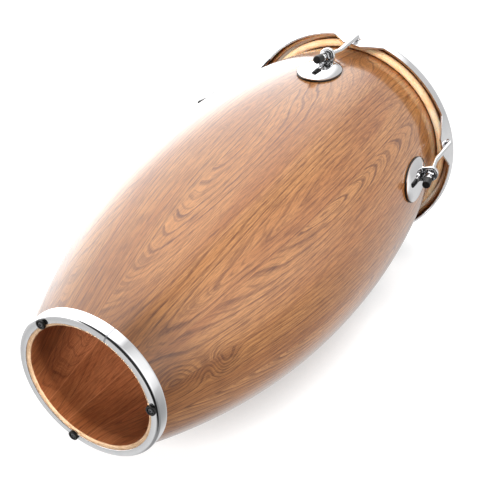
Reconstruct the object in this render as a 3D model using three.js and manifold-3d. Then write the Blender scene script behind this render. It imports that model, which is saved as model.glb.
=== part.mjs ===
// A conga: a lacquered wooden shell whose natural skin head is tuned by five hooks that pull its rim down.
// Millimetres, +Z up. It stands on three rubber feet at z = 0. Azimuth 0 faces -Y and turns towards +X.

import * as THREE from "three";
import { mergeVertices } from "three/addons/utils/BufferGeometryUtils.js";
import Module from "manifold-3d";

const wasm = await Module();
wasm.setup();

const DEGREE = Math.PI / 180;

// Clearances and the fineness of round pieces
const SEAT = 0.3; // between two pieces that bear on each other
const RUNNING = 0.4; // round a rod in its eye and in its nut
const OVERCUT = 2; // how far a cutter runs past the face that it cuts

// Shell
const HEAD_RADIUS = 148.5; // outside, just under the bearing edge
const BELLY_SWELL = 40; // how far the belly stands out past the head
const BELLY_HEIGHT = 420;
const SHELL_TOP = 716.5; // crest of the bearing edge
const EDGE_ROUND = 5; // rounding of the bearing edge
const BASE_STEP = 1.1; // how far the wood stands out over the part of it inside the bottom ring
const LOWER_SWELL = 2.12; // power of the curve from belly to base
const UPPER_SWELL = 1.93; // power of the curve from belly to head
const WALL = 13.3;
const LOWER_STATIONS = 6;
const UPPER_STATIONS = 6;
const EDGE_BEVEL = 7; // fall of the bearing edge towards the inside

// Bottom ring
const RING_RADIUS = 104.2;
const RING_WALL = 2.2;
const RING_HEIGHT = 17.8;
const RING_FLANGE = 11.1; // how far the flange turns in from the outside
const RING_FLANGE_THICKNESS = 1.5;
const RING_ROUND = 4.5;

// Feet and their screws
const FOOT_AZIMUTHS = [-77, 43, 158];
const FOOT_INSET = 8; // from the outside of the ring in to the middle of a foot
const FOOT_RADIUS = 6.7;
const FOOT_HEIGHT = 3.6;
const FOOT_RECESS_RADIUS = 4;
const FOOT_RECESS_DEPTH = 2.2;
const FOOT_SCREW_HEAD_RADIUS = 3.4;
const FOOT_SCREW_HEAD_HEIGHT = 1.4;
const FOOT_SCREW_RADIUS = 1.9;
const FOOT_SCREW_LENGTH = 24;

// Skin and the flesh hoop that it is wrapped round
const SKIN = 2.2;
const HOOP_ROD_RADIUS = 3.5;
const HOOP_DROP = 10.5; // centre of the hoop below the crest of the bearing edge
const HOOP_SIDES = 8;
const WRAP_TURN = 270; // degrees that the skin goes round the hoop

// Rim
const RIM_ROOM = 12.2; // between the wrapped hoop and the inside of the rim
const RIM_WALL = 3;
const RIM_ROUND = 12;
const RIM_BAND = 22; // height of the rim between its tabs
const TAB_END = 19; // from the hook's centre line down to the end of a tab
const TAB_WIDTH = 27;
const TAB_ROOT_WIDTH = 85;
const LIP_GAP = 0.6; // between the rim's inner lip and the skin

// Lugs and tuning
const LUGS = 5;
const SIDES_PER_LUG = 7; // sides of the round pieces; an odd number puts each lug on the middle of a side
const ROD_RADIUS = 3.95;
const ROD_SIDES = 8;
const ROD_GAP = 1.4; // from the tab to the upright part of the rod, which closes in as the rim rises
const HOOK_DROP = 28.3; // from the top of the rim to the centre line of the hooked end
const ROD_UPRIGHT = 59; // from the hooked end's centre line down to the kink
const KINK_ROUND = 6;
const HOOK_ROUND = 5.5;
const HOOK_REACH = 10; // how far the hooked end stands in past the outer face of the tab
const TAB_HOLE_RADIUS = 5.4;
const TAB_HOLE_SIDES = 12;
const EYE_DROP = 38; // from the kink down to the top of the bracket's eye, where the rod enters
const EYE_STANDOFF = 19.4; // from the wood out to the rod there
const SHELF_THICKNESS = 7;
const SHELF_HALF_WIDTH = 11.5;
const WASHER_RADIUS = 9.2;
const WASHER_THICKNESS = 1.5;
const NUT_FLATS = 14;
const NUT_HEIGHT = 8;
const THREAD_BELOW_NUT = 8;
const CAP_RADIUS = 6.2;
const CAP_LENGTH = 16;
const CAP_END = 2.7; // thickness of the closed end
const CAP_ROUND = 2;

// Lug plate, gasket and what holds them
const PLATE_DROP = 27; // from the top of the eye down to the middle of the plate
const PLATE_HALF_WIDTH = 27.5;
const PLATE_HALF_LENGTH = 46;
const PLATE_EDGE = 1.5;
const PLATE_CROWN = 5.5;
const PLATE_FULLNESS = 2.5; // how flat the middle of the dome is
const GASKET = 2;
const GASKET_BORDER = 1;
const BACKING = 2;
const BACKING_HALF_WIDTH = 9;
const BACKING_HALF_LENGTH = 42;
const BOLT_OFFSETS = { lower: -30, upper: 30 }; // along the plate from its centre
const BOLT_RADIUS = 3;
const BOLT_BITE = 3.6; // past the gasket, into the plate
const BOLT_HEAD_RADIUS = 5.5;
const BOLT_HEAD_HEIGHT = 4;

// Worked out from the sizes above
const lugStep = 360 / LUGS;
const facets = SIDES_PER_LUG * LUGS;
const ringBottom = FOOT_HEIGHT + SEAT;
const ringTop = ringBottom + RING_HEIGHT;
const ringInner = RING_RADIUS - RING_WALL;
const flangeTop = ringBottom + RING_FLANGE_THICKNESS;
const footCircle = RING_RADIUS - FOOT_INSET;
const shoulder = ringTop + SEAT; // where the wood steps out over the ring's edge
const shellBottom = flangeTop + SEAT;
const shellSeat = ringInner - SEAT; // radius of the wood inside the ring
const baseRadius = shellSeat + BASE_STEP;
const bellyRadius = HEAD_RADIUS + BELLY_SWELL;
const edgeStart = SHELL_TOP - EDGE_ROUND;
const crestRadius = HEAD_RADIUS - EDGE_ROUND;
const hoopHeight = SHELL_TOP - HOOP_DROP;
const rollRadius = HOOP_ROD_RADIUS + SEAT + SKIN;
const hoopRadius = shellRadius(hoopHeight - rollRadius / 2) + SEAT + rollRadius;
const rimInner = hoopRadius + rollRadius + RIM_ROOM;
const rimRadius = rimInner + RIM_WALL;
const rimTop = hoopHeight + rollRadius + SEAT + RIM_WALL;
const rimBandBottom = rimTop - RIM_BAND;
const hookHeight = rimTop - HOOK_DROP;
const tabBottom = hookHeight - TAB_END;
const kinkHeight = hookHeight - ROD_UPRIGHT;
const kinkRadius = rimRadius + ROD_GAP + ROD_RADIUS;
const eyeHeight = kinkHeight - EYE_DROP;
const eyeRadius = sideUnderLug(eyeHeight).out + EYE_STANDOFF;
const lean = Math.atan2(eyeRadius - kinkRadius, EYE_DROP); // of the threaded part of the rod, outwards
const shelfTop = Math.hypot(eyeRadius - kinkRadius, EYE_DROP); // this and the next five are along the rod
const shelfUnder = shelfTop + SHELF_THICKNESS;
const washerUnder = shelfUnder + SEAT + WASHER_THICKNESS;
const nutUnder = washerUnder + SEAT + NUT_HEIGHT;
const capTop = nutUnder + THREAD_BELOW_NUT;
const capBottom = capTop + CAP_LENGTH;
const rodEnd = capBottom - CAP_END - SEAT;
const plateHeight = eyeHeight - PLATE_DROP;
const plateBack = SEAT + GASKET + SEAT; // above the wood
const backingBack = WALL + SEAT + BACKING; // below the outside of the wood

const MATERIALS = {
  wood: { color: 0xa8683a, roughness: 0.25, metalness: 0 },
  chrome: { color: 0xe6e7ea, roughness: 0.08, metalness: 1 },
  steel: { color: 0xb4b6ba, roughness: 0.35, metalness: 1 },
  rubber: { color: 0x141414, roughness: 0.6, metalness: 0 },
  skin: { color: 0xe6d2ab, roughness: 0.55, metalness: 0 },
};

// Outside radius of the shell at a height.
function shellRadius(height) {
  if (height < BELLY_HEIGHT) {
    const down = (BELLY_HEIGHT - height) / (BELLY_HEIGHT - ringTop);
    return bellyRadius - (bellyRadius - baseRadius) * down ** LOWER_SWELL;
  }
  const up = (height - BELLY_HEIGHT) / (edgeStart - BELLY_HEIGHT);
  return bellyRadius - (bellyRadius - HEAD_RADIUS) * up ** UPPER_SWELL;
}

// Angle between the shell's outward normal and the horizontal.
function shellSlope(height) {
  return Math.atan2(shellRadius(height - 1) - shellRadius(height + 1), 2);
}

// Heights at which the faceted shell has its rings, from just over the bottom ring to the bearing edge.
function shellStations() {
  const heights = [];
  for (let i = 0; i < LOWER_STATIONS; i++) {
    heights.push(shoulder + ((BELLY_HEIGHT - shoulder) * i) / LOWER_STATIONS);
  }
  for (let i = 0; i <= UPPER_STATIONS; i++) {
    heights.push(BELLY_HEIGHT + ((edgeStart - BELLY_HEIGHT) * i) / UPPER_STATIONS);
  }
  return heights;
}

function materialNamed(name) {
  return new THREE.MeshStandardMaterial(MATERIALS[name]);
}

function mesh(name, geometry, material) {
  const piece = new THREE.Mesh(geometry, materialNamed(material));
  piece.name = name;
  return piece;
}

// A solid of revolution about Z from [radius, height] points, outside first upwards.
function revolve(points, sides = facets, start = 0) {
  const profile = points.map(([radius, height]) => new THREE.Vector2(radius, height));
  return new THREE.LatheGeometry(profile, sides, start, 2 * Math.PI).rotateX(Math.PI / 2);
}

// The same for a profile that doesn't touch the axis.
function revolveRing(points, sides = facets) {
  return revolve([...points, points[0]], sides);
}

function arc(centreRadius, centreHeight, radius, fromDegrees, toDegrees, steps) {
  const points = [];
  for (let i = 0; i <= steps; i++) {
    const angle = (fromDegrees + ((toDegrees - fromDegrees) * i) / steps) * DEGREE;
    points.push([centreRadius + radius * Math.cos(angle), centreHeight + radius * Math.sin(angle)]);
  }
  return points;
}

function cylinder(radius, bottom, top, sides = 12) {
  const profile = [
    [0, bottom],
    [radius, bottom],
    [radius, top],
    [0, top],
  ];
  return revolve(profile, sides);
}

// A prism along Z from an outline of [x, y] points, with an optional round hole at the origin.
function prism(outline, bottom, top, holeRadius = 0) {
  const shape = new THREE.Shape(outline.map(([x, y]) => new THREE.Vector2(x, y)));
  if (holeRadius > 0) {
    shape.holes.push(new THREE.Path().absarc(0, 0, holeRadius, 0, 2 * Math.PI, true));
  }
  const options = { depth: top - bottom, bevelEnabled: false, curveSegments: 8 };
  return new THREE.ExtrudeGeometry(shape, options).translate(0, 0, bottom);
}

function polygon(radius, sides, startDegrees = 0) {
  return arc(0, 0, radius, startDegrees, startDegrees + 360, sides).slice(0, sides);
}

// Joins and cuts
function solidOf(geometry) {
  const bare = geometry.index ? geometry.toNonIndexed() : geometry.clone();
  bare.deleteAttribute("normal");
  bare.deleteAttribute("uv");
  const merged = mergeVertices(bare, 1e-4);
  const vertProperties = new Float32Array(merged.attributes.position.array);
  const triVerts = new Uint32Array(merged.index.array);
  return new wasm.Manifold(new wasm.Mesh({ numProp: 3, vertProperties, triVerts }));
}

function geometryOf(solid) {
  const { numProp, numVert, vertProperties, triVerts } = solid.getMesh();
  const positions = new Float32Array(numVert * 3);
  for (let i = 0; i < numVert; i++) {
    positions.set(vertProperties.subarray(i * numProp, i * numProp + 3), i * 3);
  }
  const geometry = new THREE.BufferGeometry();
  geometry.setAttribute("position", new THREE.BufferAttribute(positions, 3));
  geometry.setIndex(new THREE.BufferAttribute(triVerts, 1));
  return geometry;
}

function cut(geometry, cutters) {
  const start = solidOf(geometry);
  return geometryOf(cutters.reduce((solid, cutter) => solid.subtract(solidOf(cutter)), start));
}

function join(first, second) {
  return geometryOf(solidOf(first).add(solidOf(second)));
}

function common(first, second) {
  return geometryOf(solidOf(first).intersect(solidOf(second)));
}

// Turns a geometry from the lug's own frame, at azimuth 0, to a lug's azimuth.
function turned(geometry, azimuth) {
  return geometry.clone().rotateZ(azimuth * DEGREE);
}

function lugAzimuths() {
  return Array.from({ length: LUGS }, (_, i) => lugStep * (i - 0.5));
}

// A point of the lug's own frame: sideways, out from the drum's axis, up.
function lugPoint(side, out, up) {
  return new THREE.Vector3(side, -out, up);
}

// The flat side of the faceted shell under a lug, at a height: how far out it lies and how far it leans in.
function sideUnderLug(height) {
  const stations = shellStations();
  const above = stations.findIndex((station) => station > height);
  const ends = [stations[above - 1], stations[above]];
  const [low, high] = ends.map((station) => shellRadius(station) * Math.cos(Math.PI / facets));
  const rise = ends[1] - ends[0];
  const out = low + ((high - low) * (height - ends[0])) / rise;
  return { out, slope: Math.atan2(low - high, rise) };
}

// Lays a geometry whose +Z is the shell's outward normal on the shell at a height of the lug's meridian.
function onShell(geometry, height) {
  const { out, slope } = sideUnderLug(height);
  return geometry.rotateX(Math.PI / 2 - slope).translate(0, -out, height);
}

// Lays a geometry of the rod's frame in the lug's frame: +Z runs up the threaded rod, the origin is the kink.
function alongRod(geometry) {
  return geometry.rotateX(-lean).translate(0, -kinkRadius, kinkHeight);
}

function boltHoles() {
  const blindEnd = plateBack + BOLT_BITE + SEAT;
  return Object.values(BOLT_OFFSETS).map((offset) => {
    const hole = cylinder(BOLT_RADIUS + RUNNING, -backingBack - OVERCUT, blindEnd, 8);
    return onShell(hole, plateHeight + offset);
  });
}

function shell() {
  const outside = shellStations().map((height) => [shellRadius(height), height]);
  const innerBase = shellSeat - WALL;
  const inside = outside
    .slice(0, -1)
    .map(([radius, height]) => [Math.max(radius - WALL, innerBase), height])
    .reverse();
  const edgeInner = HEAD_RADIUS - WALL;
  const profile = [
    [innerBase, shellBottom],
    [shellSeat, shellBottom],
    [shellSeat, shoulder],
    ...outside,
    ...arc(crestRadius, edgeStart, EDGE_ROUND, 45, 90, 1),
    [edgeInner, SHELL_TOP - EDGE_BEVEL],
    ...inside,
  ];
  const screwHoles = FOOT_AZIMUTHS.map((azimuth) => {
    const depth = ringBottom + FOOT_SCREW_LENGTH + SEAT;
    const hole = cylinder(FOOT_SCREW_RADIUS + SEAT, shellBottom - OVERCUT, depth, 8);
    return turned(hole.translate(0, -footCircle, 0), azimuth);
  });
  const lugHoles = lugAzimuths().flatMap((azimuth) => boltHoles().map((hole) => turned(hole, azimuth)));
  return mesh("shell", cut(revolveRing(profile), [...screwHoles, ...lugHoles]), "wood");
}

function bottomRing() {
  const flangeInner = RING_RADIUS - RING_FLANGE;
  const profile = [
    [flangeInner, ringBottom],
    ...arc(RING_RADIUS - RING_ROUND, ringBottom + RING_ROUND, RING_ROUND, -90, 0, 2),
    [RING_RADIUS, ringTop],
    [ringInner, ringTop],
    [ringInner, flangeTop],
    [flangeInner, flangeTop],
  ];
  const holes = FOOT_AZIMUTHS.map((azimuth) => {
    const hole = cylinder(FOOT_SCREW_RADIUS + RUNNING, ringBottom - OVERCUT, flangeTop + OVERCUT, 8);
    return turned(hole.translate(0, -footCircle, 0), azimuth);
  });
  return mesh("bottom_ring", cut(revolveRing(profile), holes), "chrome");
}

function rubberFoot(number) {
  const bore = FOOT_SCREW_RADIUS + RUNNING;
  const profile = [
    [FOOT_RECESS_RADIUS, 0],
    [FOOT_RADIUS, 0],
    [FOOT_RADIUS, FOOT_HEIGHT],
    [bore, FOOT_HEIGHT],
    [bore, FOOT_RECESS_DEPTH],
    [FOOT_RECESS_RADIUS, FOOT_RECESS_DEPTH],
  ];
  return mesh(`rubber_foot_${number}`, revolveRing(profile, 12), "rubber");
}

function footScrew(number) {
  const headTop = FOOT_RECESS_DEPTH - SEAT;
  const headBottom = headTop - FOOT_SCREW_HEAD_HEIGHT;
  const profile = [
    [0, headBottom],
    [FOOT_SCREW_HEAD_RADIUS, headBottom],
    [FOOT_SCREW_HEAD_RADIUS, headTop],
    [FOOT_SCREW_RADIUS, headTop],
    [FOOT_SCREW_RADIUS, ringBottom + FOOT_SCREW_LENGTH],
    [0, ringBottom + FOOT_SCREW_LENGTH],
  ];
  return mesh(`foot_screw_${number}`, revolve(profile, 8), "steel");
}

function feet() {
  const group = new THREE.Group();
  FOOT_AZIMUTHS.forEach((azimuth, i) => {
    const foot = new THREE.Group();
    const angle = azimuth * DEGREE;
    foot.position.set(footCircle * Math.sin(angle), -footCircle * Math.cos(angle), 0);
    foot.add(rubberFoot(i + 1), footScrew(i + 1));
    group.add(foot);
  });
  return group;
}

// One sheet of skin: the playing head, the turn over the bearing edge and the wrap round the flesh hoop.
function skinHead() {
  const under = SHELL_TOP + SEAT;
  const wrapSteps = (HOOP_SIDES * WRAP_TURN) / 360;
  const outerWrap = arc(hoopRadius, hoopHeight, rollRadius, 180, 180 + WRAP_TURN, wrapSteps);
  const innerWrap = arc(hoopRadius, hoopHeight, HOOP_ROD_RADIUS + SEAT, 180, 180 + WRAP_TURN, wrapSteps);
  const profile = [
    [0, under],
    ...arc(crestRadius, edgeStart, EDGE_ROUND + SEAT, 90, 0, 2),
    ...outerWrap,
    ...innerWrap.reverse(),
    ...arc(crestRadius, edgeStart, EDGE_ROUND + SEAT + SKIN, 0, 90, 2),
    [0, under + SKIN],
  ];
  return mesh("skin_head", revolve(profile), "skin");
}

function fleshHoop() {
  const section = arc(hoopRadius, hoopHeight, HOOP_ROD_RADIUS, 0, 360, HOOP_SIDES).slice(0, HOOP_SIDES);
  return mesh("flesh_hoop", revolveRing(section), "steel");
}

// What lies below the band between two tabs, as a slice of a circle about the drum's axis.
function windowSlice(azimuth, halfAngle) {
  const steps = 4;
  const reach = (rimRadius + OVERCUT) / Math.cos(halfAngle / steps);
  const outline = [
    [0, 0],
    ...arc(0, 0, reach, -halfAngle / DEGREE, halfAngle / DEGREE, steps),
  ];
  return prism(outline, tabBottom - OVERCUT, rimBandBottom).rotateZ((azimuth - 90) * DEGREE);
}

// The slanted side of a tab, cut square to the rim where it lies.
function tabFlank(azimuth, hand) {
  const rootAngle = TAB_ROOT_WIDTH / 2 / rimRadius;
  const endAngle = TAB_WIDTH / 2 / rimRadius;
  const middle = (rootAngle + endAngle) / 2;
  const half = rimRadius * Math.sin((rootAngle - endAngle) / 2);
  const outline = [
    [-half, tabBottom],
    [-half, tabBottom - OVERCUT],
    [half + OVERCUT, tabBottom - OVERCUT],
    [half + OVERCUT, rimBandBottom],
    [half, rimBandBottom],
  ];
  const mirrored = outline.map(([x, height]) => [hand * x, height]);
  const depth = RIM_WALL + 2 * OVERCUT;
  const wedge = prism(hand > 0 ? mirrored : mirrored.reverse(), 0, depth).rotateX(Math.PI / 2);
  wedge.translate(0, OVERCUT - rimInner, 0);
  return turned(wedge, azimuth + (hand * middle) / DEGREE);
}

function tabHole(azimuth) {
  const centreToFlat = TAB_HOLE_RADIUS * Math.cos(Math.PI / TAB_HOLE_SIDES);
  const height = hookHeight - ROD_RADIUS - SEAT + centreToFlat;
  const [start, end] = [rimInner - OVERCUT, rimRadius + OVERCUT];
  const hole = cylinder(TAB_HOLE_RADIUS, start, end, TAB_HOLE_SIDES);
  return turned(hole.rotateX(Math.PI / 2).translate(0, 0, height), azimuth);
}

function rim() {
  const under = rimTop - RIM_WALL;
  const roundCentre = rimRadius - RIM_ROUND;
  const roundHeight = rimTop - RIM_ROUND;
  const skinOutside = HEAD_RADIUS + SEAT + SKIN;
  const lip = skinOutside + LIP_GAP;
  const profile = [
    [rimInner, tabBottom],
    [rimRadius, tabBottom],
    [rimRadius, rimBandBottom],
    ...arc(roundCentre, roundHeight, RIM_ROUND, 0, 90, 3),
    [lip, rimTop],
    [lip, under],
    ...arc(roundCentre, roundHeight, RIM_ROUND - RIM_WALL, 90, 0, 3),
    [rimInner, rimBandBottom],
  ];
  const rootAngle = TAB_ROOT_WIDTH / 2 / rimRadius;
  const sliceHalf = (lugStep / 2) * DEGREE - rootAngle;
  const cutters = lugAzimuths().flatMap((azimuth) => [
    windowSlice(azimuth + lugStep / 2, sliceHalf),
    tabFlank(azimuth, 1),
    tabFlank(azimuth, -1),
    tabHole(azimuth),
  ]);
  return mesh("rim", cut(revolveRing(profile), cutters), "chrome");
}

// The shell's outside grown or shrunk by an offset, faceted as the shell is, round the lugs' heights.
function shellCore(offset) {
  const reach = PLATE_HALF_LENGTH + GASKET_BORDER + PLATE_CROWN;
  const stations = shellStations();
  const first = stations.findLastIndex((height) => height < plateHeight - reach);
  const last = stations.findIndex((height) => height > plateHeight + reach);
  const outside = stations
    .slice(first, last + 1)
    .map((height) => [shellRadius(height) + offset, height]);
  const profile = [[0, stations[first]], ...outside, [0, stations[last]]];
  return revolve(profile, facets, Math.PI / facets);
}

// A rounded pad that follows the shell: an ellipse, or squarer with a higher power, from one offset to another.
// The outer offset may rise towards the middle.
function pad(halfWidth, halfLength, power, innerOffset, outerOffset, sides, rings) {
  const positions = [];
  const triangles = [];
  const vertex = (side, up, offset) => {
    const height = plateHeight + up;
    const slope = shellSlope(height);
    const out = shellRadius(height) + offset * Math.cos(slope);
    const angle = side / shellRadius(height);
    positions.push(out * Math.sin(angle), -out * Math.cos(angle), height + offset * Math.sin(slope));
    return positions.length / 3 - 1;
  };
  const rounded = (value) => Math.sign(value) * Math.abs(value) ** (2 / power);
  const layer = (offsetAt) => {
    const centre = vertex(0, 0, offsetAt(0));
    const loops = [];
    for (let ring = 1; ring <= rings; ring++) {
      const share = ring / rings;
      loops.push(
        Array.from({ length: sides }, (_, i) => {
          const angle = (2 * Math.PI * i) / sides;
          const side = halfWidth * share * rounded(Math.cos(angle));
          const up = halfLength * share * rounded(Math.sin(angle));
          return vertex(side, up, offsetAt(share));
        }),
      );
    }
    return { centre, loops };
  };
  const face = (a, b, c, flip) => triangles.push(...(flip ? [a, c, b] : [a, b, c]));
  const skinOver = ({ centre, loops }, flip) => {
    for (let i = 0; i < sides; i++) {
      const next = (i + 1) % sides;
      face(centre, loops[0][i], loops[0][next], flip);
      for (let ring = 1; ring < rings; ring++) {
        const [low, high] = [loops[ring - 1], loops[ring]];
        face(low[i], high[i], high[next], flip);
        face(low[i], high[next], low[next], flip);
      }
    }
  };
  const outer = layer(outerOffset);
  const inner = layer(() => innerOffset);
  skinOver(outer, false);
  skinOver(inner, true);
  const [top, bottom] = [outer.loops[rings - 1], inner.loops[rings - 1]];
  for (let i = 0; i < sides; i++) {
    const next = (i + 1) % sides;
    face(bottom[i], bottom[next], top[next], false);
    face(bottom[i], top[next], top[i], false);
  }
  const geometry = new THREE.BufferGeometry();
  geometry.setAttribute("position", new THREE.Float32BufferAttribute(positions, 3));
  geometry.setIndex(triangles);
  return geometry;
}

function gasketGeometry() {
  const halfWidth = PLATE_HALF_WIDTH + GASKET_BORDER;
  const halfLength = PLATE_HALF_LENGTH + GASKET_BORDER;
  const blank = pad(halfWidth, halfLength, 2, -OVERCUT, () => plateBack + OVERCUT, 20, 1);
  const sheet = common(blank, shellCore(SEAT + GASKET));
  return cut(sheet, [shellCore(SEAT), ...boltHoles()]);
}

// The bracket's shelf: a tongue square to the rod, rounded about it, that grows out of the plate.
function shelfGeometry() {
  const root = (EYE_STANDOFF - plateBack - PLATE_EDGE / 2) / Math.cos(lean);
  const outline = [
    ...arc(0, 0, SHELF_HALF_WIDTH, 180, 360, 8),
    [SHELF_HALF_WIDTH, root],
    [-SHELF_HALF_WIDTH, root],
  ];
  return alongRod(prism(outline, -shelfUnder, -shelfTop));
}

function plateGeometry() {
  const dome = (share) => plateBack + PLATE_EDGE + PLATE_CROWN * (1 - share ** PLATE_FULLNESS);
  const blank = pad(PLATE_HALF_WIDTH, PLATE_HALF_LENGTH, 2, -OVERCUT, dome, 20, 3);
  const eye = alongRod(cylinder(ROD_RADIUS + RUNNING, -shelfUnder - OVERCUT, -shelfTop + OVERCUT));
  return cut(join(blank, shelfGeometry()), [shellCore(plateBack), eye, ...boltHoles()]);
}

function backingGeometry() {
  const blank = pad(
    BACKING_HALF_WIDTH, BACKING_HALF_LENGTH, 5, -backingBack - OVERCUT, () => -WALL + OVERCUT, 12, 1,
  );
  const strip = common(blank, shellCore(-WALL - SEAT));
  return cut(strip, [shellCore(-backingBack), ...boltHoles()]);
}

function boltGeometry(offset) {
  const headTop = -backingBack - SEAT;
  const profile = [
    [0, headTop - BOLT_HEAD_HEIGHT],
    [BOLT_HEAD_RADIUS, headTop - BOLT_HEAD_HEIGHT],
    [BOLT_HEAD_RADIUS, headTop],
    [BOLT_RADIUS, headTop],
    [BOLT_RADIUS, plateBack + BOLT_BITE],
    [0, plateBack + BOLT_BITE],
  ];
  return onShell(revolve(profile, 8), plateHeight + offset);
}

// The hook's centre line, from the end of the thread up to the kink, along the tab and in through its hole.
function hookPath() {
  const down = (distance) =>
    lugPoint(0, kinkRadius + distance * Math.sin(lean), kinkHeight - distance * Math.cos(lean));
  const path = new THREE.CurvePath();
  const bendStart = lugPoint(0, kinkRadius, hookHeight - HOOK_ROUND);
  const bendEnd = lugPoint(0, kinkRadius - HOOK_ROUND, hookHeight);
  const kinkEnd = lugPoint(0, kinkRadius, kinkHeight + KINK_ROUND);
  const corner = lugPoint(0, kinkRadius, hookHeight);
  path.add(new THREE.LineCurve3(down(rodEnd), down(KINK_ROUND)));
  path.add(new THREE.QuadraticBezierCurve3(down(KINK_ROUND), down(0), kinkEnd));
  path.add(new THREE.LineCurve3(kinkEnd, bendStart));
  path.add(new THREE.QuadraticBezierCurve3(bendStart, corner, bendEnd));
  path.add(new THREE.LineCurve3(bendEnd, lugPoint(0, rimRadius - HOOK_REACH, hookHeight)));
  return path;
}

function hookGeometry() {
  const section = new THREE.Shape(polygon(ROD_RADIUS, ROD_SIDES).map(([x, y]) => new THREE.Vector2(x, y)));
  return new THREE.ExtrudeGeometry(section, { steps: 24, bevelEnabled: false, extrudePath: hookPath() });
}

function nutGeometry() {
  const corner = NUT_FLATS / 2 / Math.cos(30 * DEGREE);
  return alongRod(prism(polygon(corner, 6), -nutUnder, -nutUnder + NUT_HEIGHT, ROD_RADIUS + RUNNING));
}

function washerGeometry() {
  const outline = polygon(WASHER_RADIUS, 16);
  return alongRod(prism(outline, -washerUnder, -washerUnder + WASHER_THICKNESS, ROD_RADIUS + RUNNING));
}

function capGeometry() {
  const bore = ROD_RADIUS + SEAT;
  const profile = [
    [0, -capBottom],
    ...arc(CAP_RADIUS - CAP_ROUND, -capBottom + CAP_ROUND, CAP_ROUND, -90, 0, 2),
    [CAP_RADIUS, -capTop],
    [bore, -capTop],
    [bore, -rodEnd - SEAT],
    [0, -rodEnd - SEAT],
  ];
  return alongRod(revolve(profile, 12));
}

function lugSets() {
  const pieces = [
    ["lug_gasket", gasketGeometry(), "rubber"],
    ["lug_plate", plateGeometry(), "chrome"],
    ["backing_plate", backingGeometry(), "steel"],
    ["lug_bolt_lower", boltGeometry(BOLT_OFFSETS.lower), "steel"],
    ["lug_bolt_upper", boltGeometry(BOLT_OFFSETS.upper), "steel"],
    ["tuning_hook", hookGeometry(), "chrome"],
    ["tuning_washer", washerGeometry(), "chrome"],
    ["tuning_nut", nutGeometry(), "chrome"],
    ["rod_cap", capGeometry(), "rubber"],
  ];
  const group = new THREE.Group();
  lugAzimuths().forEach((azimuth, i) => {
    const lug = new THREE.Group();
    lug.rotation.z = azimuth * DEGREE;
    for (const [name, geometry, material] of pieces) {
      lug.add(mesh(`${name}_${i + 1}`, geometry, material));
    }
    group.add(lug);
  });
  return group;
}

const conga = new THREE.Group();
conga.add(shell(), bottomRing(), feet(), skinHead(), fleshHoop(), rim(), lugSets());

export default conga;
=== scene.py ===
# The conga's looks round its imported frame: smooth detailed pieces, procedural materials, light and camera.
# Named sizes are in millimetres and the stage's in metres. Azimuth 0 faces -Y and turns towards +X; +Z is up.

import math

import bmesh
import bpy
import numpy as np
from mathutils import Matrix, Vector


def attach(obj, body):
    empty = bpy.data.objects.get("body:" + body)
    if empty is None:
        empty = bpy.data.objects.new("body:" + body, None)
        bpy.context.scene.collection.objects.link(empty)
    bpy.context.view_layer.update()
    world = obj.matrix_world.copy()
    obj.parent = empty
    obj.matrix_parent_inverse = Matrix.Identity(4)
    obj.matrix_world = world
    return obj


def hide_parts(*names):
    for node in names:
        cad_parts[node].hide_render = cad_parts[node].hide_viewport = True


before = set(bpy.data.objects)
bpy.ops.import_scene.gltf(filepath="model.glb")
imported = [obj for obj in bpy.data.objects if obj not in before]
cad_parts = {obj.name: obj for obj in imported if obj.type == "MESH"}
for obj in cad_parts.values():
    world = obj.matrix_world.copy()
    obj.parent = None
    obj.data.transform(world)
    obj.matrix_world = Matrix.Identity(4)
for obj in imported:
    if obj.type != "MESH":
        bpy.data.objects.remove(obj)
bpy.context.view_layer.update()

MM = 0.001
SEAT = 0.3

# Shell; SHELL_SEAT is the radius of the wood inside the bottom ring
HEAD_RADIUS = 148.5
BELLY_RADIUS = 188.5
BELLY_HEIGHT = 420.0
BASE_RADIUS = 102.8
SHELL_SEAT = 101.7
SHELL_BOTTOM = 5.7
SHOULDER = 22.0
SHELL_TOP = 716.5
EDGE_ROUND = 5.0
EDGE_START = SHELL_TOP - EDGE_ROUND
EDGE_BEVEL = 7.0
LOWER_SWELL = 2.12
UPPER_SWELL = 1.93
WALL = 13.3
INNER_CHAMFER = 1.6
OUTER_CHAMFER = 0.8
STAVES = 16

# The figure of the wood; stretches are how much of a length along the stave a pattern takes up
GROWTH_RING = 6.6
HEART_RANGE = 100.0  # sideways, over which the hearts of the staves lie
HEART_DEPTH = 11.0
HEART_SWAY = 40.0
HEART_TILT = 0.5
TILT_CENTRE = 360.0
RIPPLE = 4.0
GRAIN_STRETCH = 0.16
SWAY_STRETCH = 0.085
RIPPLE_STRETCH = 0.05
STAVE_SHIFT = 97.0  # sets the grain of neighbouring staves apart, as the next does their ripple
RIPPLE_SHIFT = 31.0
PORE_STRETCH = 0.36
LINE_STRETCH = 0.03
YEAR_STRENGTHS = (0.7, 0.35)  # range and lowest
EARLY_WOOD = [(0.0, 1.0), (0.11, 0.95), (0.24, 0.12), (0.93, 0.0), (1.0, 0.7)]  # over one growth ring
KNOT_WOOD = [(0.0, 1.0), (0.3, 0.5), (0.5, 0.0), (0.8, 0.0), (1.0, 1.0)]
KNOTS = [(38.4, 103.0, 3.4), (37.0, 84.0, -3.6), (31.4, 38.0, 2.4)]  # azimuth, height, rings crowded in
KNOT_REACH = 16.0
KNOT_STRETCH = (1.0, 1.0, 0.75)
STAVE_TONES = (0.2, 0.87)  # range and lowest
RED_POWER = 0.85  # of the level; darker wood is redder
BLUE_POWER = 1.4
FOOT_SHADE_REACH = 200.0
FOOT_SHADE = [(0.0, 0.64), (0.75, 1.0)]
DARK_PATCH = (5.0, 28.0)  # azimuth and height of the middle of a place where the wood is made darker
DARK_PATCH_REACH = 80.0
PATCH_SHADE = [(0.0, 0.5), (0.4, 0.62), (1.0, 1.0)]

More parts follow.
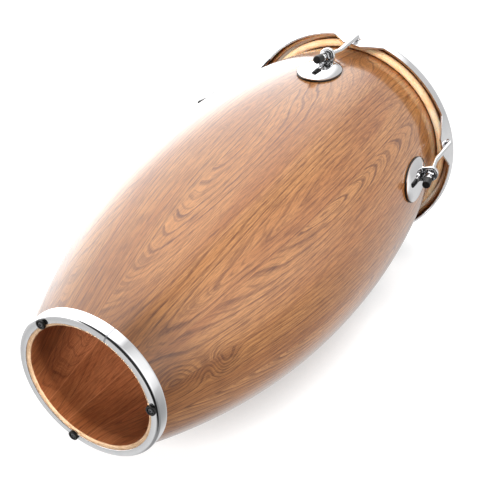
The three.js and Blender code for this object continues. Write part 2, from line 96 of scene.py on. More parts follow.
# Bottom ring and feet
RING_RADIUS = 104.2
RING_WALL = 2.2
RING_BOTTOM = 3.9
RING_TOP = 21.7
RING_FLANGE = 11.1
RING_FLANGE_THICKNESS = 1.5
RING_ROUND = 4.5
RING_LIP = 3.0
RING_FLANGE_ROUND = 0.7
RING_TOP_ROUND = 0.8
WELD_AZIMUTH = -18.8
WELD_HALF_WIDTH = 1.2
WELD_COLOR = (0.4, 0.4, 0.42)
FOOT_AZIMUTHS = (-77, 43, 158)
FOOT_CIRCLE = 96.2
FOOT_RADIUS = 6.7
FOOT_HEIGHT = 3.6
FOOT_ROUND = 0.9
FOOT_RECESS_RADIUS = 4.0
FOOT_RECESS_DEPTH = 2.2
SCREW_HEAD_RADIUS = 3.4
SCREW_HEAD_TOP = 0.5
SCREW_HEAD_HEIGHT = 1.4
SCREW_HEAD_ROUND = 0.8
SCREW_RECESS_RADIUS = 1.7
SCREW_RECESS_DEPTH = 1.0
SCREW_RADIUS = 1.9
SCREW_END = 27.9
SCREW_POINT = 3.0

# Skin, flesh hoop and rim
SKIN = 2.2
HOOP_ROD_RADIUS = 3.5
HOOP_HEIGHT = 706.0
WRAP_TURN = 270
RIM_RADIUS = 178.2
RIM_WALL = 3.0
RIM_ROUND = 12.0
RIM_TOP = 715.3
RIM_BAND_BOTTOM = 693.3
TAB_BOTTOM = 668.0
TAB_WIDTH = 27.0
TAB_ROOT_WIDTH = 85.0
LIP_RADIUS = 151.6

# Lugs and tuning
LUG_AZIMUTHS = (-36, 36, 108, 180, 252)
LUG_STEP = 72
ROD_RADIUS = 3.95
KINK_RADIUS = 183.57
KINK_HEIGHT = 628.0
KINK_ROUND = 6.0
HOOK_HEIGHT = 687.0
HOOK_ROUND = 5.5
HOOK_REACH = 10.0
LEAN = math.radians(13.669)
TAB_HOLE_RADIUS = 5.4
TAB_HOLE_HEIGHT = 687.97
SHELF_TOP = 39.11  # this and the next are distances down the rod from its kink
SHELF_THICKNESS = 7.0
SHELF_HALF_WIDTH = 11.5
SHELF_EDGE = 1.6
SHELF_FLARE = 4.0
EYE_STANDOFF = 19.4
RUNNING = 0.4
WASHER_RADIUS = 9.2
WASHER_THICKNESS = 1.5
WASHER_ROUND = 0.45
NUT_FLATS = 14.0
NUT_HEIGHT = 8.0
NUT_CHAMFER = 0.7
NUT_CROWN_START = 0.97  # share of the way from the axis to a flat
NUT_CROWN_SLOPE = 0.62
THREAD_BELOW_NUT = 8.0
THREAD_ABOVE_SHELF = 7.0
THREAD_PITCH = 1.25
THREAD_DEPTH = 0.5
THREAD_STEPS = 8  # to a turn
THREAD_RUN_IN = 12  # steps
THREAD_RUN_OUT = 2.5
ROD_CHAMFER = 0.8
HOOK_CHAMFER = 0.6
CAP_RADIUS = 6.2
CAP_LENGTH = 16.0
CAP_END = 2.7
CAP_ROUND = 2.0
CAP_LIP = 0.5
CAP_BEAD = 0.15
CAP_BEAD_HEIGHT = 3.0
PLATE_HEIGHT = 565.7
PLATE_HALF_SIZE = (27.5, 46.0)
PLATE_EDGE = 1.5
PLATE_CROWN = 5.5
PLATE_FULLNESS = 2.5
PLATE_EDGE_ROUND = 0.5
DOME_END = 0.985  # share of the way out
GASKET = 2.0
GASKET_BORDER = 1.0
BACKING = 2.0
BACKING_HALF_SIZE = (9.0, 42.0)
BACKING_CHAMFER = 0.3
BACKING_SQUARENESS = 5.0  # 2 is an oval
BOLT_OFFSETS = {"lower": -30.0, "upper": 30.0}
BOLT_RADIUS = 3.0
BOLT_BITE = 3.6
BOLT_HEAD_RADIUS = 5.5
BOLT_HEAD_HEIGHT = 4.0
BOLT_RECESS_RADIUS = 2.2
BOLT_RECESS_DEPTH = 1.2
BOLT_CHAMFER = 0.5

# Smoothness of the meshes: sides of a full turn
DRUM_SIDES = 192
HOOP_SIDES = 128
PLATE_SIDES = 96
WASHER_SIDES = 64
SMALL_SIDES = 48
SCREW_SIDES = 32
ROD_SIDES = 24
SLIGHT_TURN = 0.08  # one minus the cosine of a corner's turn
SHARP_ANGLE = math.radians(38)
BEVEL_ANGLE = math.radians(50)

roll_radius = HOOP_ROD_RADIUS + SEAT + SKIN
plate_back = SEAT + GASKET + SEAT
shelf_under = SHELF_TOP + SHELF_THICKNESS
washer_under = shelf_under + SEAT + WASHER_THICKNESS
nut_under = washer_under + SEAT + NUT_HEIGHT
cap_top = nut_under + THREAD_BELOW_NUT
cap_bottom = cap_top + CAP_LENGTH
rod_end = cap_bottom - CAP_END - SEAT
thread_start = SHELF_TOP - THREAD_ABOVE_SHELF
round_start = RIM_TOP - RIM_ROUND


def shell_radius(height):
    if height < BELLY_HEIGHT:
        down = (BELLY_HEIGHT - height) / (BELLY_HEIGHT - RING_TOP)
        return BELLY_RADIUS - (BELLY_RADIUS - BASE_RADIUS) * down**LOWER_SWELL
    up = (height - BELLY_HEIGHT) / (EDGE_START - BELLY_HEIGHT)
    return BELLY_RADIUS - (BELLY_RADIUS - HEAD_RADIUS) * up**UPPER_SWELL


def shell_slope(height):
    return math.atan2(shell_radius(height - 1) - shell_radius(height + 1), 2)


hoop_radius = shell_radius(HOOP_HEIGHT - roll_radius / 2) + SEAT + roll_radius


# Points and frames

def arc(centre_radius, centre_height, radius, start, end, steps):
    angles = np.radians(np.linspace(start, end, steps + 1))
    across = centre_radius + radius * np.cos(angles)
    up = centre_height + radius * np.sin(angles)
    return list(zip(across, up))


def turned(points, azimuth):
    angle = math.radians(azimuth)
    x, y, z = points.T
    cos, sin = math.cos(angle), math.sin(angle)
    return np.stack([x * cos - y * sin, x * sin + y * cos, z], axis=1)


def along_rod(points):
    """From the rod's frame, +Z up the threaded rod from the kink, to the lug's frame."""
    x, y, z = points.T
    cos, sin = math.cos(LEAN), math.sin(LEAN)
    return np.stack([x, y * cos + z * sin - KINK_RADIUS, z * cos - y * sin + KINK_HEIGHT], axis=1)


def on_shell(points, height):
    """From a frame whose +Z is the shell's outward normal to the lug's frame."""
    slope = shell_slope(height)
    x, y, z = points.T
    cos, sin = math.cos(slope), math.sin(slope)
    out = shell_radius(height)
    return np.stack([x, y * sin - z * cos - out, y * cos + z * sin + height], axis=1)


def as_is(points):
    return points


def on_lug(azimuth, place=as_is):
    """A placing on the drum: points go to the lug's frame by another placing, and round to its azimuth."""
    return lambda points: turned(place(points), azimuth)


def surface_point(azimuth, height):
    """A point on the outside of the shell, in metres."""
    return turned(np.array([[0, -shell_radius(height), height]]), azimuth)[0] * MM


# Meshes

def add_object(name, data):
    made = bpy.data.objects.new(name, data)
    bpy.context.scene.collection.objects.link(made)
    return made


def reshape(data, change):
    """Changes a mesh by way of a bmesh, and shades it smooth between its sharp edges."""
    mesh = bmesh.new()
    mesh.from_mesh(data)
    change(mesh)
    mesh.to_mesh(data)
    mesh.free()
    data.shade_smooth()
    data.set_sharp_from_angle(angle=SHARP_ANGLE)


def new_piece(name, points, faces, body, finish, replaced=(), picks=None):
    """A smooth mesh from points in millimetres that rides on a body and stands for CAD nodes."""
    slot, materials = finish
    data = bpy.data.meshes.new(name)
    data.from_pydata((np.asarray(points) * MM).tolist(), [], faces)
    for material in materials:
        data.materials.append(material)
    if picks is not None:
        data.polygons.foreach_set("material_index", picks)
    reshape(data, lambda mesh: bmesh.ops.recalc_face_normals(mesh, faces=mesh.faces))
    piece = add_object(name, data)
    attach(piece, body)
    if replaced:
        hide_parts(*replaced)
    return piece


def skin_loops(loops, closed=False):
    """Points and faces of a surface through loops of equally many points; a loop of one point is a pole."""
    starts = np.cumsum([0] + [len(loop) for loop in loops]).tolist()
    order = [*range(len(loops)), *([0] if closed else [])]
    faces = []
    for low, high in zip(order, order[1:]):
        count = max(len(loops[low]), len(loops[high]))
        for i in range(count):
            j = (i + 1) % count
            corners = [(low, i), (low, j), (high, j), (high, i)]
            face = [starts[loop] + k % len(loops[loop]) for loop, k in corners]
            faces.append(tuple(dict.fromkeys(face)))
    return np.concatenate(loops), faces


def ring_loop(radius, height, sides, shape=None):
    if radius < 1e-6:
        return np.array([[0.0, 0.0, height]])
    angles = np.linspace(0, 2 * math.pi, sides, endpoint=False)
    reach = radius if shape is None else radius * shape(angles)
    return np.stack([reach * np.sin(angles), -reach * np.cos(angles), np.full(sides, float(height))], axis=1)


def loft(name, loops, body, finish, place=as_is, replaced=(), closed=False, pick=None):
    """A surface through loops of points; pick gives the material of the faces that follow a loop."""
    points, faces = skin_loops(loops, closed)
    picks = None if pick is None else [pick(i // len(loops[0])) for i in range(len(faces))]
    return new_piece(name, place(points), faces, body, finish, replaced, picks)


def lathe(name, profile, sides, *more, **options):
    """A solid of revolution from (radius, height) points."""
    return loft(name, [ring_loop(radius, height, sides) for radius, height in profile], *more, **options)


def curve(start, corner, end, steps):
    """Points of a bend from start to end, along the two legs of a corner."""
    shares = np.linspace(0, 1, steps + 1)
    return [start * (1 - share) ** 2 + corner * 2 * share * (1 - share) + end * share**2 for share in shares]


def rounded(profile, radius, steps=3, closed=False):
    """The same profile with each corner turned on a small radius; a corner that hardly turns stays."""
    corners = np.array(profile, float)
    last = len(corners) - 1
    result = []
    for i, corner in enumerate(corners):
        before = corners[i - 1] - corner
        after = corners[0 if i == last else i + 1] - corner
        back, ahead = np.linalg.norm(before), np.linalg.norm(after)
        turn = 1 + np.dot(before, after) / (back * ahead)
        if turn < SLIGHT_TURN or not closed and i in (0, last):
            result.append(tuple(corner))
            continue
        reach = min(radius, min(back, ahead) / 2 * 0.98)
        start = corner + before / back * reach
        end = corner + after / ahead * reach
        result += [tuple(point) for point in curve(start, corner, end, steps)]
    return result


# Shader nodes

def node(kind, inputs=None, tree=None, **settings):
    """A new shader node, in the tree of the sockets that it takes in unless a tree is given."""
    inputs = inputs or {}
    if tree is None:
        tree = next(value.id_data for value in inputs.values() if isinstance(value, bpy.types.NodeSocket))
    made = tree.nodes.new("ShaderNode" + kind)
    for key, value in settings.items():
        setattr(made, key, value)
    fill(made, inputs)
    return made


def fill(made, inputs):
    """Links a node's inputs to sockets or sets them to plain values."""
    for key, value in inputs.items():
        if isinstance(value, bpy.types.NodeSocket):
            made.id_data.links.new(value, made.inputs[key])
        else:
            made.inputs[key].default_value = value


def calc(operation, first, second=0.0, third=0.0):
    return node("Math", {0: first, 1: second, 2: third}, operation=operation).outputs[0]


def times(first, second):
    return calc("MULTIPLY", first, second)


def plus(first, second):
    return calc("ADD", first, second)


def minus(first, second):
    return calc("SUBTRACT", first, second)


def scaled(value, factor, offset):
    return calc("MULTIPLY_ADD", value, factor, offset)


def measured(operation, first, second):
    """What a pair of vectors gives as a number, such as their distance."""
    return node("VectorMath", {0: first, 1: second}, operation=operation).outputs["Value"]


def blend_colors(factor, first, second, mode="MIX"):
    if not isinstance(second, bpy.types.NodeSocket):
        second = (*second, 1)
    return node("Mix", {0: factor, 6: first, 7: second}, data_type="RGBA", blend_type=mode).outputs[2]


def ramp(factor, stops):
    """A value or colour ramp from (position, grey or colour) stops."""
    made = node("ValToRGB", {0: factor})
    elements = made.color_ramp.elements
    while len(elements) < len(stops):
        elements.new(0.5)
    for element, (position, shade) in zip(elements, stops):
        element.position = position
        element.color = (shade, shade, shade, 1) if isinstance(shade, float) else (*shade, 1)
    return made.outputs[0]


def noise(vector, scale, detail=2.0, roughness=0.5, distortion=0.0):
    """Noise with so many waves to a metre, or to a millimetre in the grain's own coordinates."""
    inputs = {"Vector": vector, "Scale": scale, "Detail": detail, "Roughness": roughness}
    return node("TexNoise", {**inputs, "Distortion": distortion}).outputs[0]


def xyz(x, y, z):
    return node("CombineXYZ", {0: x, 1: y, 2: z}).outputs[0]


def bump(height, distance, strength, **more):
    inputs = {"Height": height, "Distance": distance * MM, "Strength": strength, **more}
    return node("Bump", inputs).outputs[0]


def linear(red, green, blue):
    """An sRGB colour of 0 to 255 as the linear colour that a shader takes."""
    shares = np.array([red, green, blue]) / 255
    bright = ((shares + 0.055) / 1.055) ** 2.4
    return tuple(float(share) for share in np.where(shares <= 0.04045, shares / 12.92, bright))


def new_material(name):
    material = bpy.data.materials.new(name)
    material.use_nodes = True
    tree = material.node_tree
    shader = tree.nodes["Principled BSDF"]
    place = node("TexCoord", tree=tree).outputs["Object"]
    return material, shader, place


def drum_coordinates(place):
    """Stave number, the place across it as a share and in millimetres, and height in millimetres."""
    parts = node("SeparateXYZ", {0: place}).outputs
    x, y, height = (times(part, 1 / MM) for part in parts)
    radius = calc("SQRT", plus(times(x, x), times(y, y)))
    azimuth = calc("ARCTAN2", x, times(y, -1.0))
    position = scaled(azimuth, STAVES / (2 * math.pi), STAVES + 0.5)
    stave = calc("FLOOR", position)
    share = minus(minus(position, stave), 0.5)
    across = times(times(share, radius), 2 * math.pi / STAVES)
    return stave, share, across, height


def grain(place):
    """Plain-sawn staves: growth ring, nearness of a knot, place in the grain, stave tone, share and height.

    The rings lie round a heart behind each stave, which wanders along it, and they crowd at the knots.
    """
    stave, share, across, height = drum_coordinates(place)
    chance = node("TexWhiteNoise", {"W": stave}, noise_dimensions="1D").outputs["Color"]
    first, tone, third = node("SeparateColor", {0: chance}).outputs

    def stretched(stretch, shift=STAVE_SHIFT):
        return xyz(across, times(height, stretch), times(stave, shift))

    coordinates = stretched(GRAIN_STRETCH)
    sway = noise(stretched(SWAY_STRETCH), 0.028, 1.0)
    ripple = noise(stretched(RIPPLE_STRETCH, RIPPLE_SHIFT), 0.1, 3.0)
    tilt = times(minus(third, 0.5), HEART_TILT)
    fall = times(minus(height, TILT_CENTRE), tilt)
    depth = plus(scaled(sway, HEART_SWAY, -HEART_DEPTH), fall)
    side = plus(across, scaled(first, HEART_RANGE, -HEART_RANGE / 2))
    side = plus(side, scaled(ripple, RIPPLE, -RIPPLE / 2))
    square = plus(times(side, side), times(depth, depth))
    ring = calc("DIVIDE", calc("SQRT", square), GROWTH_RING)
    squeezed = node("VectorMath", {0: place, 1: KNOT_STRETCH}, operation="MULTIPLY").outputs[0]
    knot = 0.0
    for azimuth, knot_height, rings in KNOTS:
        away = measured("DISTANCE", squeezed, surface_point(azimuth, knot_height) * KNOT_STRETCH)
        reach = calc("DIVIDE", away, KNOT_REACH * MM)
        swirl = calc("EXPONENT", times(times(reach, reach), -1.0))
        ring = scaled(swirl, rings, ring)
        knot = calc("MAXIMUM", knot, swirl)
    return ring, knot, coordinates, tone, share, height


def wood_level(place, tone, height, patch):
    """Light and dark of the wood: each stave's own, darker near the foot and, with patch, in one place."""
    level = scaled(tone, *STAVE_TONES)
    level = times(level, ramp(calc("DIVIDE", height, FOOT_SHADE_REACH), FOOT_SHADE))
    if patch:
        away = measured("DISTANCE", place, surface_point(*DARK_PATCH))
        away = calc("DIVIDE", away, DARK_PATCH_REACH * MM)
        level = times(level, ramp(away, PATCH_SHADE))
    return level


def wood_material(name, colors, gloss):
    """Lacquered wood where gloss is set, else the bare inside of the staves with their joints."""
    light, middle, dark = colors
    ring_share, line_share, knot_share = (0.8, 0.45, 0.25) if gloss else (0.5, 0.35, 0.0)
    material, shader, place = new_material(name)
    ring, knot, coordinates, tone, share, height = grain(place)
    phase = calc("FRACT", ring)
    year = plus(calc("FLOOR", ring), times(tone, 500.0))
    weight = node("TexWhiteNoise", {"W": year}, noise_dimensions="1D").outputs["Value"]
    early = times(ramp(phase, EARLY_WOOD), scaled(weight, *YEAR_STRENGTHS))
    near = ramp(knot, [(0.05, 0.0), (0.35, 0.75)])
    early = calc("MAXIMUM", early, times(ramp(phase, KNOT_WOOD), near))
    across, along, stave = node("SeparateXYZ", {0: coordinates}).outputs
    pore_place = xyz(across, times(along, PORE_STRETCH), stave)
    pores = ramp(noise(pore_place, 0.8, 3.0, 0.65), [(0.5, 0.0), (0.56, 1.0)])
    pores = times(pores, scaled(early, 0.5, 0.34))
    fibre = noise(pore_place, 0.55, 4.0, 0.72)
    fibre_dark = ramp(fibre, [(0.4, 0.0), (0.66, 1.0)])
    line_place = xyz(ring, times(along, LINE_STRETCH), stave)
    lines = ramp(noise(line_place, 5.0, 2.0, 0.6), [(0.5, 0.0), (0.62, 1.0)])
    body = ramp(noise(coordinates, 0.02, 3.0, 0.6), [(0.36, middle), (0.62, light)])
    streak = [(first + second) / 2 for first, second in zip(middle, dark)]
    body = blend_colors(times(early, ring_share), body, dark)
    body = blend_colors(times(fibre_dark, 0.55), body, streak)
    body = blend_colors(times(lines, line_share), body, dark)
    body = blend_colors(times(knot, knot_share), body, dark)
    body = blend_colors(times(pores, 0.92), body, [part * 0.85 for part in dark])
    level = wood_level(place, tone, height, gloss)
    warmth = xyz(calc("POWER", level, RED_POWER), level, calc("POWER", level, BLUE_POWER))
    body = blend_colors(1.0, body, warmth, "MULTIPLY")
    relief = times(pores, -1.0)
    if gloss:
        rough = ramp(fibre, [(0.2, 0.32), (0.8, 0.46)])
        normal = bump(relief, 0.05, 0.3)
        waves = bump(noise(place, 30.0), 0.12, 0.25)
        fill(shader, {"Coat Weight": 1.0, "Coat Roughness": 0.12, "Coat IOR": 1.5, "Coat Normal": waves})
    else:
        joint = minus(0.5, calc("ABSOLUTE", share))
        joint = ramp(joint, [(0.0, 1.0), (0.012, 1.0), (0.022, 0.0)])
        body = blend_colors(times(joint, 0.4), body, light)
        rough = ramp(fibre, [(0.2, 0.42), (0.8, 0.6)])
        normal = bump(relief, 0.2, 0.5)
    fill(shader, {"Base Color": body, "Roughness": rough, "Normal": normal})
    return material


def end_grain_material():
    material, shader, place = new_material("end_grain")
    speckle = noise(place, 700.0, 3.0, 0.7)
    rings = noise(place, 120.0, 2.0, 0.5, 0.6)
    body = ramp(rings, [(0.3, linear(200, 162, 124)), (0.7, linear(220, 188, 154))])
    spots = ramp(speckle, [(0.52, 0.0), (0.68, 1.0)])
    body = blend_colors(times(spots, 0.6), body, linear(160, 108, 66))
    fill(shader, {"Base Color": body, "Roughness": 0.55, "Normal": bump(speckle, 0.15, 0.5)})
    return material


def metal_material(name, color, low, high, wave, seam=None):
    """Plated metal: faint smears in its gloss, fine scratches, and a ground weld at the azimuth of a seam."""
    material, shader, place = new_material(name)
    smears = noise(place, 45.0, 4.0, 0.6, 0.4)
    scratches = noise(node("Mapping", {0: place, 3: (1, 1, 0.04)}).outputs[0], 2500.0, 2.0, 0.7)
    rough = ramp(smears, [(0.35, low), (0.75, high)])
    shade = tuple(part * 0.93 for part in color)
    body = ramp(smears, [(0.3, color), (0.8, shade)])
    if seam is not None:
        angle = math.radians(seam)
        ahead = measured("DOT_PRODUCT", place, (math.sin(angle), -math.cos(angle), 0))
        aside = measured("DOT_PRODUCT", place, (math.cos(angle), math.sin(angle), 0))
        near = calc("LESS_THAN", calc("ABSOLUTE", aside), WELD_HALF_WIDTH * MM)
        weld = times(near, calc("GREATER_THAN", ahead, 0.0))
        rough = scaled(weld, 0.35, rough)
        body = blend_colors(times(weld, 0.8), body, WELD_COLOR)
    normal = bump(noise(place, 60.0, 1.0), wave, 0.3, Normal=bump(scratches, 0.002, 0.35))
    fill(shader, {"Base Color": body, "Metallic": 1.0, "Roughness": rough, "Normal": normal})
    return material


def rubber_material():
    material, shader, place = new_material("black_rubber")
    dust = noise(place, 260.0, 4.0, 0.7)
    body = ramp(dust, [(0.3, linear(5, 5, 6)), (0.8, linear(20, 19, 18))])
    rough = ramp(dust, [(0.2, 0.34), (0.8, 0.5)])
    normal = bump(noise(place, 1500.0), 0.06, 0.5)
    fill(shader, {"Base Color": body, "Roughness": rough, "Normal": normal})
    return material


def skin_material():
    """Natural hide: mottled cream with darker follicle specks and faint veins."""
    material, shader, place = new_material("natural_skin")
    clouds = noise(place, 16.0, 5.0, 0.6, 0.5)
    creams = [linear(244, 184, 136), linear(255, 205, 160), linear(255, 225, 196)]
    body = ramp(clouds, list(zip((0.3, 0.5, 0.72), creams)))
    veins = noise(place, 22.0, 2.0, 0.5, 1.6)
    lines = ramp(veins, [(0.475, 0.0), (0.5, 1.0), (0.525, 0.0)])
    body = blend_colors(times(lines, 0.22), body, linear(170, 124, 78))
    specks = node("TexVoronoi", {"Vector": place, "Scale": 420.0}).outputs["Distance"]
    hairs = ramp(specks, [(0.0, 1.0), (0.16, 0.6), (0.26, 0.0)])
    patchy = times(hairs, ramp(noise(place, 30.0), [(0.45, 0.0), (0.65, 0.5)]))
    body = blend_colors(patchy, body, linear(120, 84, 52))
    rough = ramp(clouds, [(0.2, 0.28), (0.8, 0.42)])
    normal = bump(noise(place, 300.0, 4.0, 0.65), 0.2, 0.4)
    fill(shader, {"Base Color": body, "Roughness": rough, "Normal": normal})
    fill(shader, {"Subsurface Weight": 0.5, "Subsurface Radius": (1.0, 0.7, 0.45), "Subsurface Scale": 0.006})
    return material


OUTSIDE_COLORS = [linear(*color) for color in ((220, 154, 92), (196, 126, 68), (108, 54, 18))]
INSIDE_COLORS = [linear(*color) for color in ((220, 142, 96), (190, 114, 74), (122, 66, 42))]
CHROME_COLOR = (0.9, 0.9, 0.91)

# Finishes: the record's slot, and the materials of a piece
lacquered = wood_material("lacquered_wood", OUTSIDE_COLORS, gloss=True)
bare = wood_material("inside_wood", INSIDE_COLORS, gloss=False)
WOOD = ("lacquered_wood", [lacquered, bare, end_grain_material()])
chrome = metal_material("chrome", CHROME_COLOR, 0.03, 0.1, 0.02)
CHROME = ("chrome", [chrome])
RING_CHROME = ("chrome", [metal_material("ring_chrome", CHROME_COLOR, 0.02, 0.06, 0.02, WELD_AZIMUTH)])
# The rim's inside faces are satin chrome whose brown colour is a painted reflection of the shell's wood
RIM_CHROME = ("chrome", [chrome, metal_material("satin_chrome_painted_wood_reflection", (0.74, 0.6, 0.47), 0.18, 0.28, 0.03)])
STEEL = ("plain_steel", [metal_material("plain_steel", (0.62, 0.62, 0.63), 0.28, 0.45, 0.05)])
DARK_STEEL = ("plain_steel", [metal_material("blackened_steel", (0.2, 0.2, 0.21), 0.2, 0.36, 0.05)])
RUBBER = ("black_rubber", [rubber_material()])
HIDE = ("rawhide", [skin_material()])


# Pieces

def make_shell():
    lower = np.linspace(SHOULDER, BELLY_HEIGHT, 60, endpoint=False)
    heights = np.concatenate([lower, np.linspace(BELLY_HEIGHT, EDGE_START, 50)])
    outside = [(shell_radius(height), height) for height in heights]
    base = SHELL_SEAT - WALL
    edge = HEAD_RADIUS - WALL
    bevel_end = SHELL_TOP - EDGE_BEVEL
    chamfer_top = SHELL_BOTTOM + INNER_CHAMFER
    start = [(base, chamfer_top + 4), (base, chamfer_top), (base + INNER_CHAMFER, SHELL_BOTTOM)]
    foot = [(SHELL_SEAT - OUTER_CHAMFER, SHELL_BOTTOM), (SHELL_SEAT, SHELL_BOTTOM + OUTER_CHAMFER)]
    foot.append((SHELL_SEAT, SHOULDER))
    crest = arc(HEAD_RADIUS - EDGE_ROUND, EDGE_START, EDGE_ROUND, 8, 98, 8)
    crest += [(edge + 1, bevel_end + 1), (edge, bevel_end)]
    inside = [(max(radius - WALL, base), height) for radius, height in outside[-4::-1]]
    inside = [(radius, height) for radius, height in inside if height > SHOULDER + 2]
    profile = start + foot + outside + crest + inside
    first_outside = len(start) + len(foot) - 1
    first_crest = first_outside + len(outside)
    first_inside = first_crest + len(crest) - 1

    def pick(row):
        if row < 1 or row >= first_inside:
            return 1
        return 0 if first_outside <= row < first_crest else 2

    lathe(
        "shell_wood", profile, DRUM_SIDES, "shell_body", WOOD,
        replaced=["shell"], closed=True, pick=pick,
    )


def make_bottom_ring():
    inner = RING_RADIUS - RING_WALL
    flange_inner = RING_RADIUS - RING_FLANGE
    flange_top = RING_BOTTOM + RING_FLANGE_THICKNESS
    bend_start = (RING_RADIUS - RING_ROUND, RING_BOTTOM)
    corners = [(inner, flange_top), (flange_inner, flange_top), (flange_inner, RING_BOTTOM), bend_start]
    lower = arc(RING_RADIUS - RING_ROUND, RING_BOTTOM + RING_ROUND, RING_ROUND, -90, 0, 14)
    lip = RING_TOP - RING_LIP
    top = [(RING_RADIUS, lip), (RING_RADIUS, RING_TOP), (inner, RING_TOP), (inner, lip)]
    profile = rounded(corners, RING_FLANGE_ROUND)[:-1] + lower + rounded(top, RING_TOP_ROUND)
    lathe(
        "bottom_ring_chrome", profile, DRUM_SIDES, "shell_body", RING_CHROME,
        replaced=["bottom_ring"], closed=True,
    )


def make_feet():
    bore = SCREW_RADIUS + RUNNING
    foot = [
        (FOOT_RECESS_RADIUS, 0), (FOOT_RADIUS, 0), (FOOT_RADIUS, FOOT_HEIGHT), (bore, FOOT_HEIGHT),
        (bore, FOOT_RECESS_DEPTH), (FOOT_RECESS_RADIUS, FOOT_RECESS_DEPTH),
    ]
    foot = rounded(foot, FOOT_ROUND, 4, closed=True)
    recess = SCREW_HEAD_TOP + SCREW_RECESS_DEPTH
    head = SCREW_HEAD_TOP + SCREW_HEAD_HEIGHT
    screw = [
        (0, recess), (SCREW_RECESS_RADIUS - 0.2, recess - 0.1), (SCREW_RECESS_RADIUS, SCREW_HEAD_TOP),
        (SCREW_HEAD_RADIUS - SCREW_HEAD_ROUND, SCREW_HEAD_TOP),
        (SCREW_HEAD_RADIUS - 0.2, SCREW_HEAD_TOP + 0.3),
        (SCREW_HEAD_RADIUS, SCREW_HEAD_TOP + SCREW_HEAD_ROUND), (SCREW_HEAD_RADIUS, head),
        (SCREW_RADIUS, head), (SCREW_RADIUS, SCREW_END - SCREW_POINT), (0, SCREW_END),
    ]
    for number, azimuth in enumerate(FOOT_AZIMUTHS, 1):
        shift = turned(np.array([[0, -FOOT_CIRCLE, 0]]), azimuth)
        lathe(
            f"rubber_foot_piece_{number}", foot, SMALL_SIDES, "shell_body", RUBBER,
            place=lambda points: points + shift, replaced=[f"rubber_foot_{number}"], closed=True,
        )
        lathe(
            f"foot_screw_piece_{number}", screw, SCREW_SIDES, "shell_body", DARK_STEEL,
            place=lambda points: points + shift, replaced=[f"foot_screw_{number}"],
        )


def make_skin():
    under = SHELL_TOP + SEAT
    crest_radius = HEAD_RADIUS - EDGE_ROUND
    wrap_end = 180 + WRAP_TURN
    top = [(radius, under + SKIN) for radius in (0, 40, 90, 125)]
    over = arc(crest_radius, EDGE_START, EDGE_ROUND + SEAT + SKIN, 90, 0, 8)
    outer = arc(hoop_radius, HOOP_HEIGHT, roll_radius, 180, wrap_end, 24)
    inner = arc(hoop_radius, HOOP_HEIGHT, HOOP_ROD_RADIUS + SEAT, wrap_end, 180, 24)
    back = arc(crest_radius, EDGE_START, EDGE_ROUND + SEAT, 0, 90, 8)
    profile = top + over + outer + inner + back + [(0, under)]
    return lathe("skin_head_hide", profile, DRUM_SIDES, "head_body", HIDE, replaced=["skin_head"])


def make_flesh_hoop():
    section = arc(hoop_radius, HOOP_HEIGHT, HOOP_ROD_RADIUS, 0, 360, 16)[:-1]
    lathe("flesh_hoop_ring", section, HOOP_SIDES, "head_body", STEEL, replaced=["flesh_hoop"], closed=True)


def pad_points(side, up, offset):
    """Points over the shell: sideways and up from the plate's centre, and proud of the wood."""
    height = PLATE_HEIGHT + up
    radius = np.array([shell_radius(h) for h in height])
    slope = np.array([shell_slope(h) for h in height])
    out = radius + offset * np.cos(slope)
    angle = side / radius
    return np.stack([out * np.sin(angle), -out * np.cos(angle), height + offset * np.sin(slope)], axis=1)


def pad_loop(half_width, half_length, share, offset, sides, power):
    """An oval on the shell, which a higher power makes squarer; share is how far out it lies."""
    if share < 1e-6:
        return pad_points(np.zeros(1), np.zeros(1), np.array([offset]))
    angles = np.linspace(0, 2 * math.pi, sides, endpoint=False)
    bulge = 2 / power
    side = half_width * share * np.sign(np.cos(angles)) * np.abs(np.cos(angles)) ** bulge
    up = half_length * share * np.sign(np.sin(angles)) * np.abs(np.sin(angles)) ** bulge
    return pad_points(side, up, np.full(sides, offset))


def make_pad(name, azimuth, half_size, section, finish, replaced, sides=PLATE_SIDES, power=2.0):
    """An oval sheet on the shell from (share of the way out, height over the wood) points."""
    loops = [pad_loop(*half_size, share, offset, sides, power) for share, offset in section]
    loft(name, loops, "shell_body", finish, on_lug(azimuth), [replaced])


def make_plate(number, azimuth):
    def dome(share):
        return plate_back + PLATE_EDGE + PLATE_CROWN * (1 - share**PLATE_FULLNESS)

    low = dome(DOME_END)
    corners = [(DOME_END, low), (1.0, low - 0.35), (1.0, plate_back), (0.96, plate_back)]
    edge = rounded(corners, PLATE_EDGE_ROUND)
    section = [(share, dome(share)) for share in np.linspace(0, DOME_END, 20)]
    section += [*edge[1:], (0, plate_back)]
    make_pad(f"lug_plate_dome_{number}", azimuth, PLATE_HALF_SIZE, section, CHROME, f"lug_plate_{number}")


